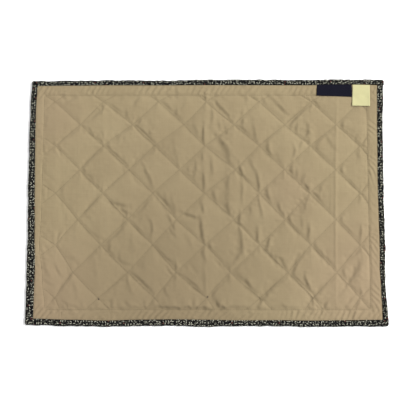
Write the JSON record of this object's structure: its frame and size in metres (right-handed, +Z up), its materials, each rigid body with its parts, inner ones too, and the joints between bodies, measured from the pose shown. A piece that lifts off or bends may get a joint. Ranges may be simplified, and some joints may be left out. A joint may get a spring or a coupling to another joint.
{
  "type": "quilted fabric placemat",
  "caption": "Quilted cotton placemat lying face down: padded tan backing sewn in diamonds, dark leaf-print binding round its edges, and bare woven labels at one corner.",
  "frame": {"origin": "middle of the underside, on the surface that the mat lies on", "axes": "+X along the mat's length, +Y towards the edge with the labels, +Z up out of the backing side"},
  "size_m": [0.4832, 0.3364, 0.0053],
  "materials": {
    "backing_cloth": "matte plain-weave cotton",
    "binding_print": "matte printed cotton",
    "dark_label_tape": "close-woven tape, low sheen",
    "cream_label_tape": "smooth satin tape"
  },
  "bodies": {
    "root": {"quilted_panel": "backing_cloth", "binding_top": "binding_print", "binding_right": "binding_print", "binding_bottom": "binding_print", "binding_left": "binding_print", "label_dark": "dark_label_tape", "label_cream": "cream_label_tape"}
  },
  "joints": []
}
